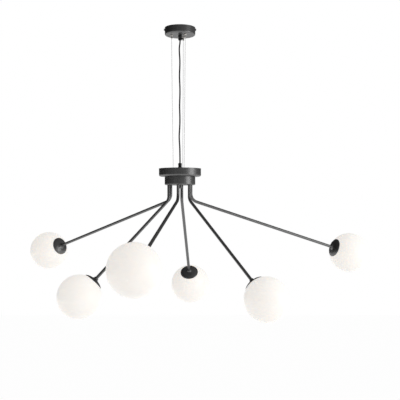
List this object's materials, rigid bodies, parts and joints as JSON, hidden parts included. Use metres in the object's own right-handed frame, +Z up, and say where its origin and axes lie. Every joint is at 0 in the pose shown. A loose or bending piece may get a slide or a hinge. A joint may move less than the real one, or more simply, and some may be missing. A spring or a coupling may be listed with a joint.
{
  "type": "branch chandelier",
  "caption": "Branch chandelier: ceiling cup, three wires and a cord hold a round two-tier hub with bent tubes, long and short in turn, ending in opal globes.",
  "frame": {"origin": "centre of the ceiling bracket's two slots, on the ceiling plane; the light hangs below it", "axes": "+Z up, square to the ceiling; X along the line of the two slots and side screws; the picture looks along +Y"},
  "size_m": [1.3414, 1.2692, 1.0139],
  "materials": {
    "black_powder_coat": "matte fine-texture powder coat",
    "black_nylon": "moulded, slight sheen",
    "black_cord": "smooth sheath",
    "steel_wire": "stranded",
    "nickel": "nickel plated, satin",
    "zinc_sheet": "zinc plated",
    "white_nylon": "moulded",
    "brass": "turned",
    "white_ceramic": "glazed ceramic",
    "frosted_bulb": "frosted",
    "aluminium_ring": "turned",
    "opal_glass": "satin opal, white"
  },
  "bodies": {
    "canopy": {"ceiling_bracket": "zinc_sheet", "canopy_cup": "black_powder_coat", "canopy_side_screws": "black_powder_coat", "terminal_block": "white_nylon", "canopy_gland": "black_nylon", "canopy_gland_nut": "black_nylon", "gripper_bodies": "nickel", "gripper_nuts": "nickel", "power_cord": "black_cord", "suspension_wire_1": "steel_wire", "suspension_wire_2": "steel_wire", "suspension_wire_3": "steel_wire"},
    "hub": {"wire_ferrules": "nickel", "hub_gland": "black_nylon", "hub_lid": "black_powder_coat", "hub_pan": "black_powder_coat", "hub_spacer": "black_powder_coat", "hub_lower_cup": "black_powder_coat", "swivel_bushes": "brass", "centre_rod": "zinc_sheet", "finial_nut": "black_powder_coat"},
    "plunger_1": {"gripper_plunger_1": "nickel"},
    "plunger_2": {"gripper_plunger_2": "nickel"},
    "plunger_3": {"gripper_plunger_3": "nickel"},
    "arm_1": {"arm_tube_1": "black_powder_coat", "dish_1": "black_powder_coat", "lampholder_1": "white_ceramic", "bulb_1": "frosted_bulb"},
    "ring_1": {"globe_ring_1": "aluminium_ring"},
    "globe_1": {"glass_globe_1": "opal_glass"},
    "arm_2": {"arm_tube_2": "black_powder_coat", "dish_2": "black_powder_coat", "lampholder_2": "white_ceramic", "bulb_2": "frosted_bulb"},
    "ring_2": {"globe_ring_2": "aluminium_ring"},
    "globe_2": {"glass_globe_2": "opal_glass"},
    "arm_3": {"arm_tube_3": "black_powder_coat", "dish_3": "black_powder_coat", "lampholder_3": "white_ceramic", "bulb_3": "frosted_bulb"},
    "ring_3": {"globe_ring_3": "aluminium_ring"},
    "globe_3": {"glass_globe_3": "opal_glass"},
    "arm_4": {"arm_tube_4": "black_powder_coat", "dish_4": "black_powder_coat", "lampholder_4": "white_ceramic", "bulb_4": "frosted_bulb"},
    "ring_4": {"globe_ring_4": "aluminium_ring"},
    "globe_4": {"glass_globe_4": "opal_glass"},
    "arm_5": {"arm_tube_5": "black_powder_coat", "dish_5": "black_powder_coat", "lampholder_5": "white_ceramic", "bulb_5": "frosted_bulb"},
    "ring_5": {"globe_ring_5": "aluminium_ring"},
    "globe_5": {"glass_globe_5": "opal_glass"},
    "arm_6": {"arm_tube_6": "black_powder_coat", "dish_6": "black_powder_coat", "lampholder_6": "white_ceramic", "bulb_6": "frosted_bulb"},
    "ring_6": {"globe_ring_6": "aluminium_ring"},
    "globe_6": {"glass_globe_6": "opal_glass"}
  },
  "joints": [
    {"name": "gripper_1_press", "type": "slide", "parent": "canopy", "child": "plunger_1", "axis": [0, 0, 1], "range_m": [0, 0.0025], "stiffness_N_per_m": 800, "springref_m": -0.003},
    {"name": "gripper_2_press", "type": "slide", "parent": "canopy", "child": "plunger_2", "axis": [0, 0, 1], "range_m": [0, 0.0025], "stiffness_N_per_m": 800, "springref_m": -0.003},
    {"name": "gripper_3_press", "type": "slide", "parent": "canopy", "child": "plunger_3", "axis": [0, 0, 1], "range_m": [0, 0.0025], "stiffness_N_per_m": 800, "springref_m": -0.003},
    {"name": "height_adjust", "type": "slide", "parent": "canopy", "child": "hub", "axis": [0, 0, 1], "range_m": [0, 0.25], "deforming": ["power_cord", "suspension_wire_1", "suspension_wire_2", "suspension_wire_3"]},
    {"name": "arm_1_swivel", "type": "hinge", "parent": "hub", "child": "arm_1", "pos_m": [-0.00545, -0.04165, -0.6115], "axis": [0, 0, 1], "range_deg": [-25, 25]},
    {"name": "globe_1_advance", "type": "slide", "parent": "arm_1", "child": "ring_1", "axis": [-0.1446, -0.9458, -0.2909], "range_m": [0, 0.00605]},
    {"name": "globe_1_turn", "type": "hinge", "parent": "ring_1", "child": "globe_1", "pos_m": [-0.10418, -0.68764, -0.8102], "axis": [-0.1446, -0.9458, -0.2909], "range_deg": [0, 540]},
    {"name": "arm_2_swivel", "type": "hinge", "parent": "hub", "child": "arm_2", "pos_m": [0.03334, -0.02554, -0.6115], "axis": [0, 0, 1], "range_deg": [-25, 25]},
    {"name": "globe_2_advance", "type": "slide", "parent": "arm_2", "child": "ring_2", "axis": [0.5544, -0.4254, -0.7153], "range_m": [0, 0.00605]},
    {"name": "globe_2_turn", "type": "hinge", "parent": "ring_2", "child": "globe_2", "pos_m": [0.28714, -0.22028, -0.9389], "axis": [0.5544, -0.4254, -0.7153], "range_deg": [0, 540]},
    {"name": "arm_3_swivel", "type": "hinge", "parent": "hub", "child": "arm_3", "pos_m": [0.03879, 0.01611, -0.6115], "axis": [0, 0, 1], "range_deg": [-25, 25]},
    {"name": "globe_3_advance", "type": "slide", "parent": "arm_3", "child": "ring_3", "axis": [0.8891, 0.3534, -0.2909], "range_m": [0, 0.00605]},
    {"name": "globe_3_turn", "type": "hinge", "parent": "ring_3", "child": "globe_3", "pos_m": [0.64606, 0.25752, -0.8102], "axis": [0.8891, 0.3534, -0.2909], "range_deg": [0, 540]},
    {"name": "arm_4_swivel", "type": "hinge", "parent": "hub", "child": "arm_4", "pos_m": [0.00545, 0.04165, -0.6115], "axis": [0, 0, 1], "range_deg": [-25, 25]},
    {"name": "globe_4_advance", "type": "slide", "parent": "arm_4", "child": "ring_4", "axis": [0.0592, 0.6964, -0.7153], "range_m": [0, 0.00605]},
    {"name": "globe_4_turn", "type": "hinge", "parent": "ring_4", "child": "globe_4", "pos_m": [0.03255, 0.3604, -0.9389], "axis": [0.0592, 0.6964, -0.7153], "range_deg": [0, 540]},
    {"name": "arm_5_swivel", "type": "hinge", "parent": "hub", "child": "arm_5", "pos_m": [-0.03334, 0.02554, -0.6115], "axis": [0, 0, 1], "range_deg": [-25, 25]},
    {"name": "globe_5_advance", "type": "slide", "parent": "arm_5", "child": "ring_5", "axis": [-0.7496, 0.5945, -0.2909], "range_m": [0, 0.00605]},
    {"name": "globe_5_turn", "type": "hinge", "parent": "ring_5", "child": "globe_5", "pos_m": [-0.54534, 0.43164, -0.8102], "axis": [-0.7496, 0.5945, -0.2909], "range_deg": [0, 540]},
    {"name": "arm_6_swivel", "type": "hinge", "parent": "hub", "child": "arm_6", "pos_m": [-0.03879, -0.01611, -0.6115], "axis": [0, 0, 1], "range_deg": [-25, 25]},
    {"name": "globe_6_advance", "type": "slide", "parent": "arm_6", "child": "ring_6", "axis": [-0.6453, -0.2682, -0.7153], "range_m": [0, 0.00605]},
    {"name": "globe_6_turn", "type": "hinge", "parent": "ring_6", "child": "globe_6", "pos_m": [-0.33419, -0.13889, -0.9389], "axis": [-0.6453, -0.2682, -0.7153], "range_deg": [0, 540]}
  ],
  "couplings": [
    {"joint": "globe_1_advance", "follows": "globe_1_turn", "m_per_rad": 0.00063662},
    {"joint": "globe_2_advance", "follows": "globe_2_turn", "m_per_rad": 0.00063662},
    {"joint": "globe_3_advance", "follows": "globe_3_turn", "m_per_rad": 0.00063662},
    {"joint": "globe_4_advance", "follows": "globe_4_turn", "m_per_rad": 0.00063662},
    {"joint": "globe_5_advance", "follows": "globe_5_turn", "m_per_rad": 0.00063662},
    {"joint": "globe_6_advance", "follows": "globe_6_turn", "m_per_rad": 0.00063662}
  ]
}
